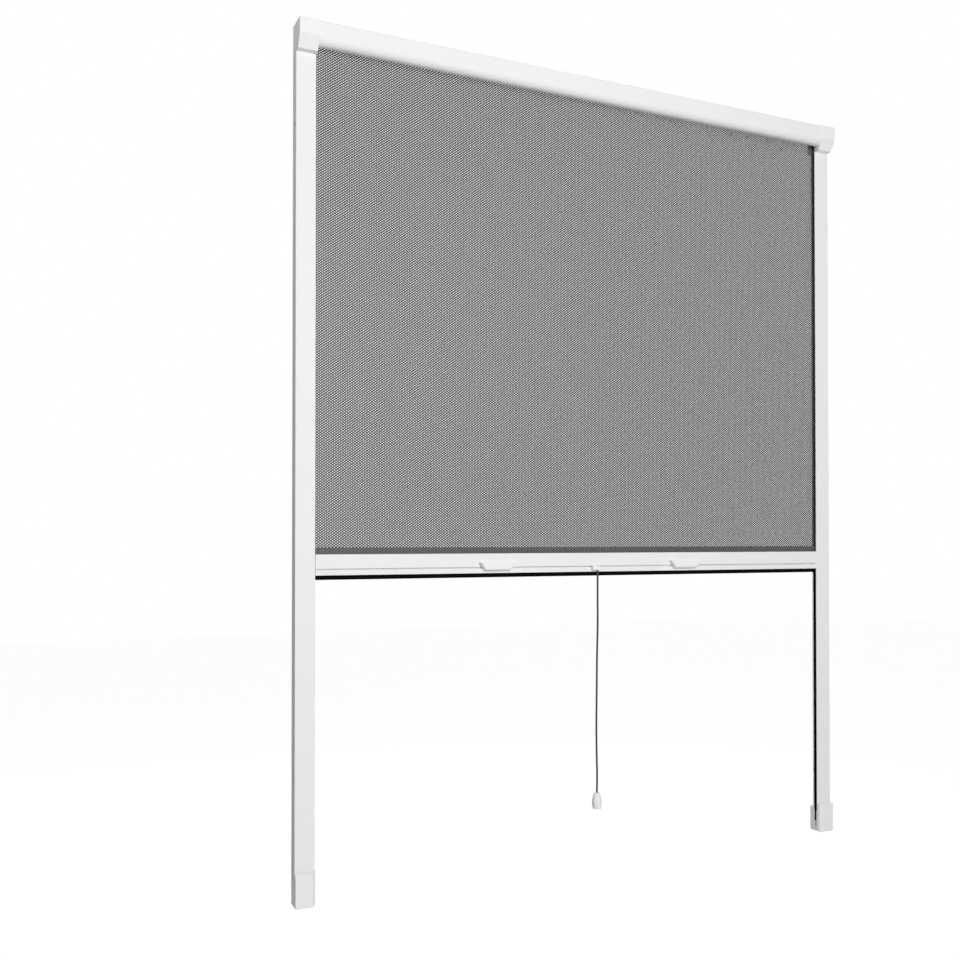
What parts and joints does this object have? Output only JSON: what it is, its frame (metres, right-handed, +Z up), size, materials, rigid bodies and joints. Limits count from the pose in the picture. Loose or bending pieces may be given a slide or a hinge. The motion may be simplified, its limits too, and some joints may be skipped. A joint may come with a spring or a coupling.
{
  "type": "roller insect screen",
  "caption": "White roller insect screen for a window: cassette, guide rails with brushes, dark mesh on a sliding bottom bar with finger grips and a pull cord with a bell.",
  "frame": {"origin": "on the cassette's flat back face, which lies against the window frame, at the cassette's mid width and mid height", "axes": "+X along the cassette to the right seen from the front, +Y out of the cassette's back face, +Z up along the guide rails"},
  "size_m": [1, 0.0385, 1.29],
  "materials": {
    "powder_white": "satin",
    "plastic_white": "satin",
    "brush_black": "matte",
    "mesh_grey": "matte",
    "hem_grey": "matte",
    "cord_grey": "matte",
    "tube_metal": "satin",
    "spring_metal": "satin",
    "welt_plastic": "matte"
  },
  "bodies": {
    "frame": {"cassette_housing": "powder_white", "end_cap_left": "plastic_white", "end_cap_right": "plastic_white", "guide_rail_left": "powder_white", "guide_rail_right": "powder_white", "rail_brush_front_left": "brush_black", "rail_brush_front_right": "brush_black", "rail_brush_rear_left": "brush_black", "rail_brush_rear_right": "brush_black", "foot_left": "plastic_white", "foot_right": "plastic_white", "foot_catch_left": "welt_plastic", "foot_catch_right": "welt_plastic", "spring_shaft": "spring_metal", "spring_anchor": "welt_plastic", "torsion_spring": "spring_metal", "idler_pin": "spring_metal"},
    "roller": {"roller_tube": "tube_metal", "tube_plug_left": "welt_plastic", "tube_plug_right": "welt_plastic", "cloth_roll": "mesh_grey", "tube_keder": "welt_plastic"},
    "bar": {"screen_cloth": "mesh_grey", "cloth_hem": "hem_grey", "bar_profile": "powder_white", "bar_keder": "welt_plastic", "bar_end_left": "plastic_white", "bar_end_right": "plastic_white", "bar_brush": "brush_black", "handle_left": "plastic_white", "handle_right": "plastic_white", "cord_knob": "plastic_white", "pull_cord": "cord_grey", "cord_bell": "plastic_white"}
  },
  "joints": [
    {"name": "bar_slide", "type": "slide", "parent": "frame", "child": "bar", "axis": [0, 0, 1], "range_m": [-0.473, 0.735], "deforming": ["screen_cloth"]},
    {"name": "roller_spin", "type": "hinge", "parent": "frame", "child": "roller", "pos_m": [0, -0.02382, 0.0041], "axis": [1, 0, 0], "range_deg": [-2640, 4100]}
  ],
  "couplings": [
    {"joint": "roller_spin", "follows": "bar_slide", "rad_per_m": 97.324}
  ]
}
